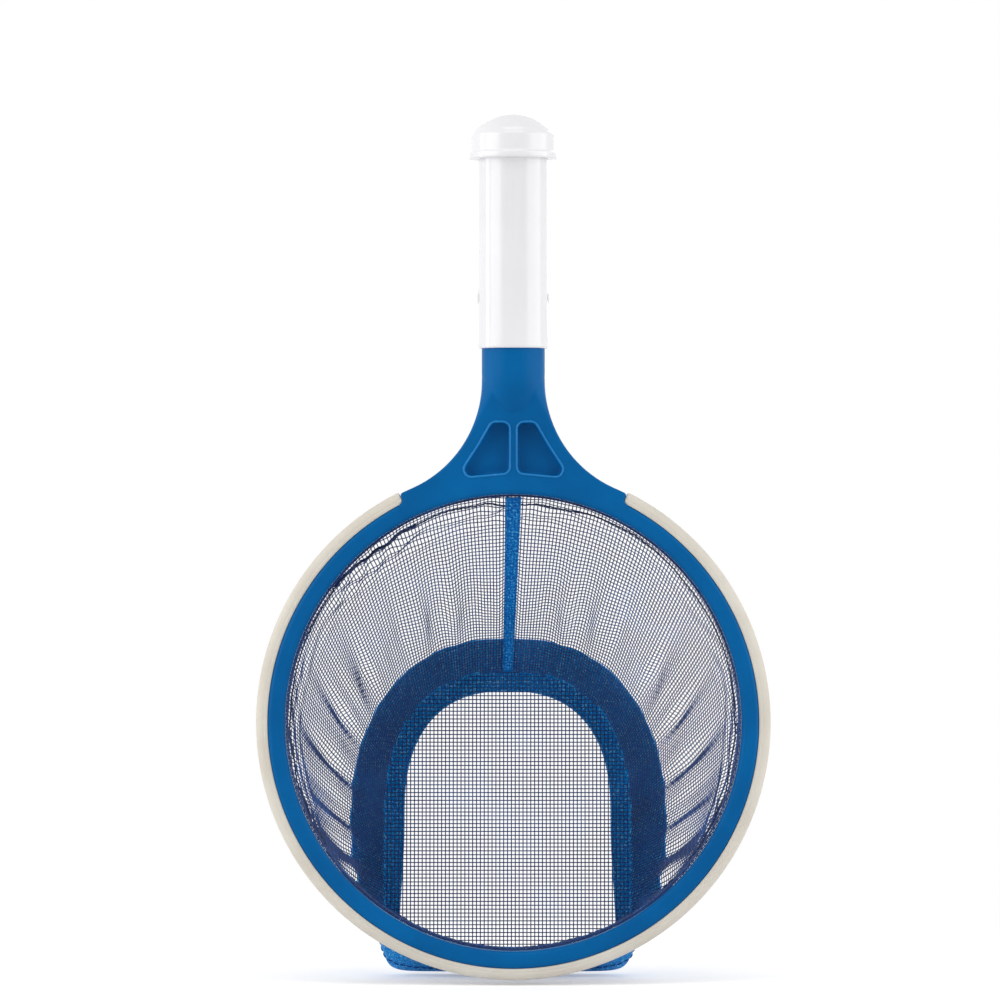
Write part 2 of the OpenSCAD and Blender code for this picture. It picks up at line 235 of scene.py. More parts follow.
def cut(cutter, *pieces):
    """Takes the cutter's shape out of each piece, and then the cutter away."""
    for piece in pieces:
        modifier(piece, "BOOLEAN", operation="DIFFERENCE", object=cutter, solver="EXACT")
    bpy.data.objects.remove(cutter)

def trim(piece, place, normal):
    """Cuts the piece off past a plane and closes the cut."""
    edit(piece)
    bpy.ops.mesh.bisect(plane_co=place, plane_no=normal, use_fill=True, clear_outer=True)
    done_editing()

# %% [markdown]
# ## Finishes
# Every finish is a small node tree that reads Object coordinates or the cloth's own UV map,
# so it stays put on the piece. A picture wrapped round it would do as well, but noise has
# no seams and no size limit. Scales are per metre, and bump depths are in metres.

# %% Node helpers
def srgb(r, g, b):
    """A colour from 0 to 255 as the linear values that Blender wants."""
    return tuple((c / 255 / 12.92) if c / 255 <= 0.04045 else ((c / 255 + 0.055) / 1.055) ** 2.4
                 for c in (r, g, b)) + (1.0,)

def new_material(name, **sockets):
    """A material and its shader node, each value set as the socket of that name."""
    material = bpy.data.materials.new(name)
    material.use_nodes = True
    shader = material.node_tree.nodes["Principled BSDF"]
    for socket, value in sockets.items():
        shader.inputs[socket.replace("_", " ")].default_value = value
    return material, shader

def add(near, kind, **values):
    """A new node in the tree (id_data) of another, each value set as its setting or socket."""
    node = near.id_data.nodes.new("ShaderNode" + kind)
    for name, value in values.items():
        if hasattr(node, name):
            setattr(node, name, value)
        else:
            node.inputs[name.replace("_", " ")].default_value = value
    return node

def link(a, b):
    a.id_data.links.new(a, b)

def where(shader, scale=(1, 1, 1), uv=False):
    """Object coordinates, or the piece's UV map in metres, stretched by scale."""
    coords, mapping = add(shader, "TexCoord"), add(shader, "Mapping", Scale=scale)
    link(coords.outputs["UV" if uv else "Object"], mapping.inputs["Vector"])
    return mapping.outputs["Vector"]

def noise(at, scale, detail=3, rough=0.5):
    node = add(at, "TexNoise", Scale=scale, Detail=detail, Roughness=rough)
    link(at, node.inputs["Vector"])
    return node.outputs["Fac"]

def spread(value, low, high, from_low=0.3, from_high=0.7):
    """Maps a noise's middle range onto low to high."""
    node = add(value, "MapRange", From_Min=from_low, From_Max=from_high, To_Min=low, To_Max=high)
    link(value, node.inputs["Value"])
    return node.outputs["Result"]

def maths(operation, a, b):
    node = add(a, "Math", operation=operation)
    link(a, node.inputs[0])
    if isinstance(b, float):
        node.inputs[1].default_value = b
    else:
        link(b, node.inputs[1])
    return node.outputs["Value"]

# %% From a pattern to the shader
def paint(shader, pattern, *stops):
    """Colours the surface through (position, colour) stops."""
    node = add(shader, "ValToRGB")
    while len(node.color_ramp.elements) < len(stops):
        node.color_ramp.elements.new(0.5)
    for element, (position, colour) in zip(node.color_ramp.elements, stops):
        element.position, element.color = position, colour
    link(pattern, node.inputs["Fac"])
    link(node.outputs["Color"], shader.inputs["Base Color"])

def roughen(shader, pattern, low, high):
    link(spread(pattern, low, high), shader.inputs["Roughness"])

def bump(shader, pattern, distance, strength):
    """Embosses the surface, on top of an earlier bump if there is one."""
    node = add(shader, "Bump", Distance=distance, Strength=strength)
    link(pattern, node.inputs["Height"])
    for earlier in shader.inputs["Normal"].links:
        link(earlier.from_socket, node.inputs["Normal"])
    link(node.outputs["Normal"], shader.inputs["Normal"])

# %% [markdown]
# ### Plastics
# The hoop is injection moulded: the resin's flow leaves a faint drift of tone, the polished
# mould an uneven satin, and the cooling a slight waviness. One function gives all of that
# to each blue part. The white grip is shinier, with a clear coat over it.

# %% Satin blue plastic
def moulded_plastic(name, dark, light, rough_low, rough_high, gloss=0.12):
    material, shader = new_material(name, Specular_IOR_Level=gloss)
    at = where(shader)
    paint(shader, noise(at, scale=28, detail=4, rough=0.55), (0.3, dark), (0.7, light))
    roughen(shader, noise(at, scale=60), rough_low, rough_high)
    bump(shader, noise(at, scale=1400, detail=2, rough=0.6), distance=0.00004, strength=0.35)
    bump(shader, noise(at, scale=40, detail=2), distance=0.0002, strength=0.25)
    return material

hoop_blue = moulded_plastic("satin_blue", srgb(0, 89, 150), srgb(1, 102, 167), 0.34, 0.46, gloss=0.07)
# lighter and glossier than the hoop: this blue paints the highlight that the rims catch
rim_highlight_blue = moulded_plastic("rim_highlight_painted_blue", srgb(10, 112, 180), srgb(26, 130, 198), 0.2, 0.3, gloss=0.25)
ring_blue = moulded_plastic("satin_blue_ring", srgb(2, 80, 140), srgb(5, 93, 157), 0.36, 0.48)
button_white = moulded_plastic("white_button", srgb(226, 226, 228), srgb(236, 236, 238), 0.2, 0.3)

# %% Glossy white plastic
def glossy_plastic(name, dark, light):
    """White resin under a clear skin, with long soft ripples down the tube."""
    material, shader = new_material(name, Specular_IOR_Level=0.5, Coat_Weight=0.3, Coat_Roughness=0.08)
    at = where(shader)
    paint(shader, noise(at, scale=22), (0.3, dark), (0.7, light))
    roughen(shader, noise(at, scale=90, detail=4), 0.16, 0.26)
    ripples = noise(where(shader, scale=(1, 1, 0.25)), scale=60, detail=2)
    bump(shader, ripples, distance=0.0002, strength=0.12)
    return material

grip_white = glossy_plastic("glossy_white", srgb(236, 236, 238), srgb(243, 243, 245))

# %% [markdown]
# ### Rubber and steel
# Soft rubber is chalky: light sinks a little way in, the tone is cloudy and the skin is a
# fine grain. Spring steel is rolled, so the noise that draws its lines is stretched along
# the strip. The screws are turned and have no one direction.

# %% Cream rubber
def soft_rubber(name, dark, light):
    material, shader = new_material(name, Specular_IOR_Level=0.35, Subsurface_Weight=0.06,
                                    Subsurface_Scale=0.002)
    at = where(shader)
    paint(shader, noise(at, scale=34, detail=5, rough=0.6), (0.3, dark), (0.7, light))
    roughen(shader, noise(at, scale=120), 0.5, 0.68)
    bump(shader, noise(at, scale=1900, rough=0.7), distance=0.00006, strength=0.5)
    return material

cream_rubber = soft_rubber("cream_rubber", srgb(212, 205, 192), srgb(224, 219, 208))

# %% Steel
def steel_finish(name, tone, stretch, rough_low, rough_high):
    """Metal with fine brush lines, drawn out along one direction."""
    material, shader = new_material(name, Metallic=1.0)
    lines = noise(where(shader, stretch), scale=900, rough=0.7)
    dark = tuple(0.86 * c for c in tone[:3]) + (1,)
    paint(shader, lines, (0.25, dark), (0.75, tone))
    roughen(shader, lines, rough_low, rough_high)
    bump(shader, lines, distance=0.00002, strength=0.3)
    return material

spring_steel = steel_finish("spring_steel", srgb(202, 204, 206), (1, 1, 0.06), 0.22, 0.38)
screw_steel = steel_finish("screw_steel", srgb(208, 209, 212), (1, 1, 1), 0.2, 0.34)

# %% [markdown]
# ### Thread and tape
# The bag's threads are modelled one by one later, so their finish needs only a slow drift
# of tone and some fluff. The bright tapes stay bands of cloth: two crossed waves draw the
# weave, and small uneven near-white specks in the colour are painted glints of the shiny yarn.

# %% Thread
def thread_finish(name, deep, mid, bright):
    material, shader = new_material(name, Specular_IOR_Level=0.4, Sheen_Weight=0.25, Sheen_Roughness=0.4)
    at = where(shader)
    drift = noise(at, scale=45, detail=4, rough=0.65)
    paint(shader, drift, (0.3, deep), (0.55, mid), (0.75, bright))
    fibres = noise(at, scale=5200, detail=2)
    roughen(shader, fibres, 0.42, 0.62)
    bump(shader, fibres, distance=0.00005, strength=0.5)
    return material

net_thread = thread_finish("navy_thread", srgb(16, 46, 96), srgb(24, 62, 122), srgb(42, 92, 158))
hem_thread = thread_finish("hem_thread", srgb(10, 30, 70), srgb(16, 42, 90), srgb(24, 58, 112))
stitch_thread = thread_finish("stitch_thread", srgb(8, 56, 118), srgb(12, 72, 144), srgb(40, 110, 180))

# %% Tape
def ribs(cloth, direction, scale, distortion):
    node = add(cloth, "TexWave", wave_type="BANDS", bands_direction=direction, Scale=scale,
               Distortion=distortion, Detail=1.0)
    link(cloth, node.inputs["Vector"])
    return node.outputs["Fac"]

def tape_finish(name, deep, bright, painted_glints, across, along):
    """The cloth's own UV map is in metres: U runs along it and V across."""
    material, shader = new_material(name, Specular_IOR_Level=0.12, Sheen_Weight=0.03, Sheen_Roughness=0.35)
    cloth = where(shader, uv=True)
    weave = maths("MULTIPLY", ribs(cloth, "X", along, 0.6), ribs(cloth, "Y", across, 0.8))
    filaments = noise(where(shader), scale=1100, rough=0.7)
    painted_specks = spread(filaments, 0, 0.7, from_low=0.36, from_high=0.64)
    mixed = maths("ADD", maths("MULTIPLY", weave, 0.3), painted_specks)
    # the near-white top stop paints glints, highlights of the shiny yarn, into the colour
    paint(shader, mixed, (0.2, deep), (0.6, bright), (0.85, painted_glints))
    roughen(shader, filaments, 0.45, 0.62)
    bump(shader, mixed, distance=0.00022, strength=0.9)
    return material

tape_cloth = tape_finish("royal_blue_tape", srgb(3, 90, 172), srgb(10, 132, 214), srgb(100, 190, 238),
                         across=260, along=200)
# its colours are lighter than the cloth's own: painted light that makes up for the hoop's shade on the bag's
# lower corners
binding_cloth = tape_finish("bright_blue_binding", srgb(0, 120, 210), srgb(0, 170, 242),
                            srgb(176, 232, 255), across=420, along=330)
print("finishes:", len(bpy.data.materials))

# %% [markdown]
# ## The front moulding
# The hoop's front half, the wishbone neck and the hollow spigot are one moulding. The hoop
# is a clean spin and the spigot a clean lathe. The wishbone flows from a flat plate into a
# round neck, which no one sweep does, so a slab, a sector of the hoop and two lofts are cut,
# fused by a fine voxel remesh and relaxed, which softens every edge as a mould does.

# %% The front half of the hoop
LIP_R, BAND_R = 97.6, 105.0  # the blue band's inner and outer radius
FRONT_Y, EDGE_R = -7.0, 2.0  # its front face, and the rounding of both its edges
CORD_R, CORD_Y = 99.8, 0.3  # where the hem's cord runs round, in a groove
SPUN_FROM = 27.8  # degrees from the top, where the wishbone takes over

band_section = [(LIP_R + 0.3, -0.1), (LIP_R, -0.6)]
band_section += arc(LIP_R + EDGE_R, FRONT_Y + EDGE_R, EDGE_R, 180, 270, 6)
band_section += arc(BAND_R - EDGE_R, FRONT_Y + EDGE_R, EDGE_R, 270, 360, 6)
band_section += [(BAND_R, -0.3), (BAND_R - 0.2, 0.0), (101.1, 0.0)]
band_section += arc(CORD_R, CORD_Y, 1.3, -14, -166, 8) + [(98.5, 0.0)]
hoop_band = spun("hoop_band", band_section, start=SPUN_FROM, sweep=360 - 2 * SPUN_FROM, steps=210)
print("hoop band:", count(hoop_band), "triangles")

# %% The wishbone's flat plate, notched for the rubber's ends
OPENING_R, SHOULDER_R = 101.0, 109.2  # the plate's inner and outer radius
NOTCH_R, NOTCH_AT = 2.2, 26.4  # the notch's inner corner, and its end in degrees
PLATE_BACK_Y = 6.5

right_side = [polar(OPENING_R, 28.9), polar(BAND_R, 28.9)]
for t in np.radians([0, 15, 30, 45, 60, 75, 90]):
    corner_turn = math.degrees(NOTCH_R * (1 - math.sin(t)) / BAND_R)
    right_side.append(polar(BAND_R + NOTCH_R * (1 - math.cos(t)), NOTCH_AT + corner_turn))
right_side += [polar(SHOULDER_R - 0.6, NOTCH_AT), polar(SHOULDER_R - 0.1, NOTCH_AT - 0.3),
               polar(SHOULDER_R, NOTCH_AT - 0.8)]
right_side += [polar(SHOULDER_R, a) for a in np.linspace(24, 3, 22)]
left_side = [(-x, rise) for x, rise in reversed(right_side)]
lower_side = [polar(OPENING_R, a) for a in np.linspace(-28.4, 28.4, 60)]
flat_plate = slab("flat_plate", lower_side + right_side + left_side, FRONT_Y, PLATE_BACK_Y)
sector = spun("sector", band_section, start=-29.2, sweep=58.4, steps=70)
print("flat plate:", count(flat_plate), "sector:", count(sector), "triangles")

# %% The sloped plate that draws in towards the neck
NECK_R = 13.5
FLARE_R, FLARE_TOP = 50, 146  # the neck's sides curve out below this rise

def flare_half_width(rise):
    if rise >= FLARE_TOP:
        return NECK_R
    return NECK_R + FLARE_R - math.sqrt(FLARE_R ** 2 - (FLARE_TOP - rise) ** 2)

def plate_ring(rise):
    """A section of the plate: it gets thicker and rounder as it climbs to the neck."""
    climb = max(rise - BAND_R, 0) / (FLARE_TOP - BAND_R)
    roundness = min(max((rise - 126) / (FLARE_TOP - 126), 0), 1)
    w, r = flare_half_width(rise), 1.2 + 8.1 * roundness ** 1.6
    front, back = FRONT_Y - 2.5 * climb, PLATE_BACK_Y + 3.0 * climb
    corners = arc(w - r, back - r, r, 0, 90, 10) + arc(r - w, back - r, r, 90, 180, 10)
    corners += arc(r - w, front + r, r, 180, 270, 10) + arc(w - r, front + r, r, 270, 360, 10)
    return [(x, y, HUB + rise) for x, y in corners]

sloped_plate = loft("sloped_plate", [plate_ring(rise) for rise in np.linspace(100.4, 147, 34)])
print("sloped plate:", count(sloped_plate), "triangles")

# %% The round neck, whose rounded end sinks into the plate
NECK_FROM, NECK_SINK = 150, 23  # the rise where the neck is full, and its end's depth

def neck_ring(rise):
    depth = max(NECK_FROM - rise, 0) / NECK_SINK
    r = NECK_R * math.sqrt(max(1 - depth ** 2, 0.002))
    return [(x, y, HUB + rise) for x, y in arc(0, 0, r, 0, 360, 96)[:-1]]

neck_rises = [NECK_FROM - NECK_SINK * math.cos(t) for t in np.linspace(0.05, 1.5, 16)]
neck_loft = loft("neck_loft", [neck_ring(rise) for rise in neck_rises + [NECK_FROM, 156, 166]])
print("neck:", count(neck_loft), "triangles")

# %% Cut the pockets, the bore and room for the clamp ring
POCKET_IN, POCKET_TOP = 2.1, 128.0  # half the bar between the pockets, and their top's rise
POCKET_FLOOR_Y = -3.0
BORE_R = 11.0

def pocket_outline(side, grow):
    """Lower edge falling outwards with the hoop, outer side drawn in with the flare."""
    corners = [(POCKET_IN - grow, 107.2 - grow), (22.9 + 2.2 * grow, 105.1 - grow),
               (14.2 + 1.2 * grow, 118.8), (8.9 + 0.6 * grow, POCKET_TOP + grow),
               (POCKET_IN - grow, POCKET_TOP + grow)]
    radii = [2.5 + grow, 2.6 + grow, 22, 2.6 + grow, 2.5 + grow]
    return [(side * x, rise) for x, rise in rounded(corners, radii)]

cutters = [slab("pocket", pocket_outline(side, 0), -30, POCKET_FLOOR_Y) for side in (-1, 1)]
cutters.append(rod(105.3, 30, (0, 14.8, HUB), ALONG_Y))
cutters.append(rod(BORE_R, 60, (0, 0, 12.2)))
cut(joined("cutters", *cutters), flat_plate, sloped_plate, sector, neck_loft)
cut(rod(OPENING_R, 40, (0, 0, HUB), ALONG_Y, sides=240), sloped_plate)
wishbone = joined("wishbone", flat_plate, sloped_plate, sector, neck_loft)
print("wishbone before the remesh:", count(wishbone), "triangles")

# %% Fuse and relax the wishbone, then trim it
SPIGOT_FOOT, SPIGOT_TOP = 1.5, 78.0

modifier(wishbone, "REMESH", mode="VOXEL", voxel_size=0.42 * MM)
modifier(wishbone, "SMOOTH", factor=0.5, iterations=6)
for side in (-1, 1):
    a = math.radians(side * SPUN_FROM)
    trim(wishbone, (0, 0, HOOP_Z), (side * math.cos(a), 0, -side * math.sin(a)))
trim(wishbone, (0, 0, SPIGOT_FOOT * MM), (0, 0, 1))
print("wishbone:", count(wishbone), "triangles")

# %% [markdown]
# ### The pockets' rims
# Each pocket has a low raised rim, drawn in a lighter blue that paints a highlight along it.
# Half a millimetre would be lost in the remesh's voxels, so the rim is a bead laid on
# afterwards: rays along +Y find where the plate's front is under each of its points.

# %% The raised rims of the pockets
RIM_OUT, RIM_R, RIM_SINK = 0.7, 0.5, 0.05

def front_y(piece, x, z):
    """Where a ray along +Y first meets the piece, all in mm."""
    hit, place, _, _ = piece.ray_cast(Vector((x * MM, -0.05, z * MM)), Vector((0, 1, 0)))
    return place.y / MM if hit else FRONT_Y

def bead(points, radius):
    """A thin bead along a closed loop of points: a wire turned into a round curve."""
    activate(wire("rim", points))
    bpy.ops.object.convert(target="CURVE")
    piece = bpy.context.object
    piece.data.bevel_depth = radius * MM
    piece.data.bevel_resolution = 2
    bpy.ops.object.convert(target="MESH")
    return outward(bpy.context.object)

bpy.context.view_layer.update()
rims = []
for side in (-1, 1):
    loop = [(x, front_y(wishbone, x, HUB + rise) + RIM_SINK, HUB + rise)
            for x, rise in pocket_outline(side, RIM_OUT)]
    rims.append(bead(loop, RIM_R))
pocket_rims = joined("pocket_rims", *rims)
finish_piece(pocket_rims, "blue_plastic", rim_highlight_blue, degrees=60)

# %% The hollow spigot, with its two button holes
def drill_button_holes(piece):
    """One rod through both walls, at the height of the snap buttons."""
    cut(rod(3.7, 60, (0, 0, 22), ALONG_X, sides=48), piece)

spigot = lathe("spigot", [(BORE_R, SPIGOT_FOOT), (NECK_R, SPIGOT_FOOT), (NECK_R, SPIGOT_TOP - 1.4),
                          (13.1, SPIGOT_TOP - 0.4), (12.5, SPIGOT_TOP), (11.5, SPIGOT_TOP),
                          (BORE_R, SPIGOT_TOP - 0.5)])
drill_button_holes(spigot)
scoop = joined("scoop_moulding", wishbone, hoop_band, spigot)
finish_piece(scoop, "blue_plastic", hoop_blue, "scoop_frame", degrees=40)

# %% [markdown]
# ## The rubber edge
# A soft strip is pushed over a rib round the lower part of the hoop. It is one profile spun
# through the bottom from stop to stop, which is how the real strip is made too. Its ends
# have a round inner corner that the moulding's notch fits, so their points are drawn in
# after the spin.

# %% Spin the strip, with finer steps at its ends
RUBBER_R, RUBBER_Y = 110.0, 6.0  # outer radius, and half the strip's depth
RUBBER_END, END_TURN = 26.5, 1.5  # degrees from the top, and the finely stepped stretch
FRONT_ROUND, BACK_ROUND = 3.6, 2.7

section = [(BAND_R + 0.05, RUBBER_Y), (BAND_R, RUBBER_Y - 0.3), (BAND_R, 0.3 - RUBBER_Y),
           (BAND_R + 0.05, -RUBBER_Y), (105.4, -6.15), (106.3, -6.1), (106.6, -5.9)]
section += [(RUBBER_R + FRONT_ROUND * (math.cos(t) - 1), BACK_ROUND * (1 + math.sin(t)) - RUBBER_Y)
            for t in np.radians(np.linspace(280, 360, 9))]
section += arc(RUBBER_R - BACK_ROUND, RUBBER_Y - BACK_ROUND, BACK_ROUND, 0, 90, 7) + [(105.4, 6.1)]
spun_from = RUBBER_END + END_TURN
rubber_strip = spun("rubber_strip", section, start=spun_from, sweep=360 - 2 * spun_from, steps=216)

for side in (-1, 1):
    edit(rubber_strip)
    bpy.ops.mesh.select_mode(type="FACE")
    bpy.ops.mesh.select_all(action="DESELECT")
    shape = bmesh.from_edit_mesh(rubber_strip.data)
    for face in shape.faces:  # only the strip's two end faces have more than four corners
        if len(face.verts) > 4 and side * face.calc_center_median().x > 0:
            face.select_set(True)
    bmesh.update_edit_mesh(rubber_strip.data)
    spin(24, side * math.radians(END_TURN), (0, 0, HOOP_Z), (0, 1, 0))
    done_editing()
outward(rubber_strip)
print("rubber strip:", count(rubber_strip), "triangles")

# %% Round the corners of both ends
OUTER_CORNER, FACE_CORNER = 0.9, 0.6

def drawn_in(s, r):
    """How far a corner of radius r has drawn in, s mm from the end."""
    return 0.0 if s >= r else r - math.sqrt(max(r * r - (r - s) ** 2, 0))

for vertex in rubber_strip.data.vertices:
    place = vertex.co / MM
    angle = math.degrees(math.atan2(abs(place.x), place.z - HUB))
    r = math.hypot(place.x, place.z - HUB)
    s = (angle - RUBBER_END) * math.radians(BAND_R)
    if s > 3:
        continue
    # the section shrinks towards the end, its inner side by the notch's corner
    low, high = BAND_R + drawn_in(s, NOTCH_R), RUBBER_R - drawn_in(s, OUTER_CORNER)
    x, rise = polar(low + (r - BAND_R) / (RUBBER_R - BAND_R) * (high - low), angle)
    y = place.y * (1 - drawn_in(s, FACE_CORNER) / 6.15)
    vertex.co = Vector((math.copysign(x, place.x), y, HUB + rise)) * MM
finish_piece(rubber_strip, "cream_rubber", cream_rubber, "rubber_edge", degrees=30)

# %% [markdown]
# ## The clamp ring, the screws and the snap clip
# The rear ring traps the net's hem. It, its screws, the spring clip and the two buttons
# already have their right shapes in the solid model, so they stay and only get finishes.

# %% Finishes on the solids that stay
solid_finishes = {"clamp_ring": ring_blue, "clamp_screws": screw_steel, "clip_bend": spring_steel,
                  "left_clip_leg": spring_steel, "right_clip_leg": spring_steel,
                  "left_button": button_white, "right_button": button_white}
for name, material in solid_finishes.items():
    solid = cad[name]
    for slot in solid.material_slots:
        slot.material = material
    if not solid.material_slots:
        solid.data.materials.append(material)
    print(name, material.name)

# %% [markdown]
# ## The grip
# A glossy white tube slips over the spigot, and a domed cap closes its top. Both are turned
# shapes, so both are lathed, with their small bright roundings drawn into the outlines.

# %% Grip tube
TUBE_IN, TUBE_R, TUBE_TOP = 13.55, 15.0, 90.0

tube = lathe("grip", [(TUBE_IN, 0.6), (13.8, 0.1), (14.2, 0.0), (14.6, 0.1), (14.9, 0.4), (TUBE_R, 0.9),
                      (TUBE_R, TUBE_TOP - 0.2), (TUBE_R - 0.2, TUBE_TOP), (TUBE_IN + 0.2, TUBE_TOP),
                      (TUBE_IN, TUBE_TOP - 0.2)])
drill_button_holes(tube)
finish_piece(tube, "white_plastic", grip_white, "grip_tube", degrees=35, body="grip")

# %% End cap
CAP_R, CAP_TOP, DOME_HIGH = 18.2, 101.0, 9
FLANGE_R, FLANGE_Z = 19.0, 81.0
PLUG_R = 13.0

dome_r = (CAP_R ** 2 + DOME_HIGH ** 2) / (2 * DOME_HIGH)
skirt = [(PLUG_R, FLANGE_Z + 0.6), (13.3, FLANGE_Z + 0.2), (15.03, FLANGE_Z + 0.1), (15.4, FLANGE_Z),
         (FLANGE_R - 0.5, FLANGE_Z), (FLANGE_R - 0.15, FLANGE_Z + 0.15), (FLANGE_R, FLANGE_Z + 0.5),
         (FLANGE_R, 83.4), (FLANGE_R - 0.15, 83.8), (18.45, 84.05), (18.25, 84.4), (CAP_R, 84.9)]
shoulder = arc(CAP_R - 2.5, 90.6, 2.5, 4, 52, 8)
dome = [(dome_r * math.sin(t), CAP_TOP - dome_r + dome_r * math.cos(t)) for t in np.linspace(0.86, 0.0, 26)]
dome = [(r, z) for r, z in dome if r < shoulder[-1][0] - 0.3]
outside = skirt + [(CAP_R, 90.4)] + shoulder + dome[:-1] + [(0.0, CAP_TOP)]
inside = [(0.0, 96.5), (9.0, 95.5), (PLUG_R, 92.0), (PLUG_R, 84.0)]
cap = lathe("cap", outside + inside)
finish_piece(cap, "cap_plastic", grip_white, "end_cap", degrees=50, body="grip")

# %% [markdown]
# ## The mesh bag
# The bag is knotless net, about fifteen meshes to the inch. Seen close it is thread, not a
# sheet with holes, so each thread is a thin tube. Wales run from the mouth to the rear
# panel, rows run round, and they pass over and under each other. Their paths are worked
# out as arrays, and one helper sweeps a four-sided thread along all of them. The wall is
# wider at the mouth than at the panel, so it gathers. Angles are in radians from the top.

# %% The mouth and the rear panel
MOUTH_R, MOUTH_Y = 97.3, 7.5
PANEL_HALF_WIDE, PANEL_HALF_HIGH = 53.8, 65
PANEL_Y, PANEL_Z = 58, -205
LEAN = math.radians(4.5)
SWAY = -2.4  # the soft bag hangs a little to one side

def straight_out(a):
    """The direction away from the hoop's axis."""
    return np.stack([np.sin(a), 0 * a, np.cos(a)], -1)

def outline_r(a):
    """Radius of the rear panel's outline: round at the top, nearly square at the bottom."""
    n = np.where(np.cos(a) > 0, 2.4, 14.0)
    wide, high = np.abs(np.sin(a)) / PANEL_HALF_WIDE, np.abs(np.cos(a)) / PANEL_HALF_HIGH
    return (wide ** n + high ** n) ** (-1 / n)

def rear_point(a, r, off=0.0):
    """A point of the rear panel's plane, off it by a distance backwards."""
    return np.stack([SWAY + r * np.sin(a),
                     PANEL_Y + r * np.cos(a) * math.sin(LEAN) + off * math.cos(LEAN),
                     PANEL_Z + r * np.cos(a) * math.cos(LEAN) - off * math.sin(LEAN)], -1)

def mouth_point(a):
    return np.array([0, MOUTH_Y, HUB]) + MOUTH_R * straight_out(a)

def wall_length(a):
    return np.linalg.norm(rear_point(a, outline_r(a)) - mouth_point(a), axis=-1)

print("wall length, mm: top %.0f, sides %.0f, bottom %.0f" %
      tuple(wall_length(np.array([0, math.pi / 2, math.pi]))))

# %% How the wall hangs between them
TURN = -7.2  # past this the wall runs outwards, between the hoop's halves

def belly(a):
    """How far the wall bellies out half way back: pulled in at the panel's lower corners."""
    from_top = np.abs(np.mod(a + np.pi, math.tau) - np.pi)
    corner_pull = 3.2 * np.exp(-((from_top - 2.44) / 0.26) ** 2)
    return 4 * np.sin(a) ** 2 + np.where(np.cos(a) > 0, -4.0, 2.0) * np.cos(a) ** 2 - corner_pull

def gather(a, v):
    """Folds that start flat at the mouth, deepen, and are pressed flat again by the binding."""
    deep = 2.6 * np.clip((v - 0.10) / 0.45, 0, 1) ** 1.5 * (1 - 0.9 * np.clip((v - 0.58) / 0.2, 0, 1))
    return deep * (0.62 * np.cos(26 * a + 1.3 * np.sin(3 * a)) + 0.28 * np.cos(41 * a + 2 * np.sin(5 * a))
                   + 0.1 * np.cos(67 * a))

def ripple(a, s):
    """Small uneven wrinkles next to the clamped mouth, strongest at the upper left."""
    upper_left = np.exp(-((np.mod(a, math.tau) - 5.65) / 0.3) ** 2)
    patches = np.sin(1.5 * a + 0.6 * np.sin(4 * a) + 1.6) ** 4
    near = np.exp(-((s - 7) / 7.5) ** 2) * (0.3 + 0.9 * upper_left + 0.5 * patches)
    return near * (0.75 * np.sin(0.85 * s + 3.1 * np.sin(5 * a + 1) + 2.0 * np.sin(11 * a))
                   + 0.5 * np.sin(38 * a + 0.5 * s + 2 * np.sin(9 * a)))

def wall(a, s, off=0.0):
    """A point of the wall, s from its mouth (less than 0 in the throat) and off it outwards."""
    a, s = np.broadcast_arrays(a, s)
    v = np.clip(s / wall_length(a), 0, 1)
    mouth = mouth_point(a)
    place = mouth + (rear_point(a, outline_r(a)) - mouth) * v[..., None]
    swing = (belly(a) * np.sin(np.pi * v) + gather(a, v) + ripple(a, s) * (s > 0)
             + off + np.maximum(TURN - s, 0))
    place = place + straight_out(a) * swing[..., None]
    place[..., 1] += np.clip(s, TURN, 0)
    return place

def wall_normal(a, s):
    """Outward normal of the wall, by differences."""
    da, ds = 1e-3, 0.2
    n = np.cross(wall(a, s + ds) - wall(a, s - ds), wall(a + da, s) - wall(a - da, s))
    n /= np.linalg.norm(n, axis=-1, keepdims=True) + 1e-12
    return n * np.sign((n * straight_out(a)).sum(-1, keepdims=True) + 1e-9)

print("wall half way back, mm:", np.round(wall(np.array([0, math.pi / 2]), 50), 1).tolist())

# %% Sweeping threads
def mesh_of(name, points, faces, uv=None):
    """A new piece from an array of points in mm and an array of four-sided faces."""
    data = bpy.data.meshes.new(name)
    places = np.float32(points) * np.float32(MM)
    data.from_pydata(places.tolist(), [], faces.tolist(), shade_flat=False)
    if uv is not None:
        layer = data.uv_layers.new(name="cloth")
        layer.data.foreach_set("uv", np.float32(uv)[faces.ravel()].ravel())
    data.validate()
    return outward(place_new(name, data), merge=False)

def threads(paths, normals, r):
    """Points and faces of a diamond-section tube along each path, with closed ends."""
    points, faces, base = [], [], 0
    for path, normal in zip(paths, normals):
        tangent = np.gradient(path, axis=0)
        tangent /= np.linalg.norm(tangent, axis=1, keepdims=True)
        side = np.cross(tangent, normal)
        side /= np.linalg.norm(side, axis=1, keepdims=True)
        up = np.cross(side, tangent)
        ring = np.stack([path + up * r, path + side * r, path - up * r, path - side * r], 1)
        n = len(path)
        index = base + np.arange(n * 4).reshape(n, 4)
        a, b = index[:-1], index[1:]
        quads = np.stack([a, b, np.roll(b, -1, 1), np.roll(a, -1, 1)], -1).reshape(-1, 4)
        faces += [quads, index[:1], index[-1:, ::-1]]
        points.append(ring.reshape(-1, 3))
        base += n * 4
    return np.concatenate(points), np.concatenate(faces)

# %% The wall's threads, in two halves
PITCH = 1.7  # from thread to thread
WALES = 362  # threads that run back from the mouth, all the way round
THREAD_R, WEAVE = 0.235, 0.12  # a thread's radius, and how far it rises to cross another
row_at = np.concatenate([[-9.35, -8.2], np.arange(-4, 60) * PITCH - 0.85])

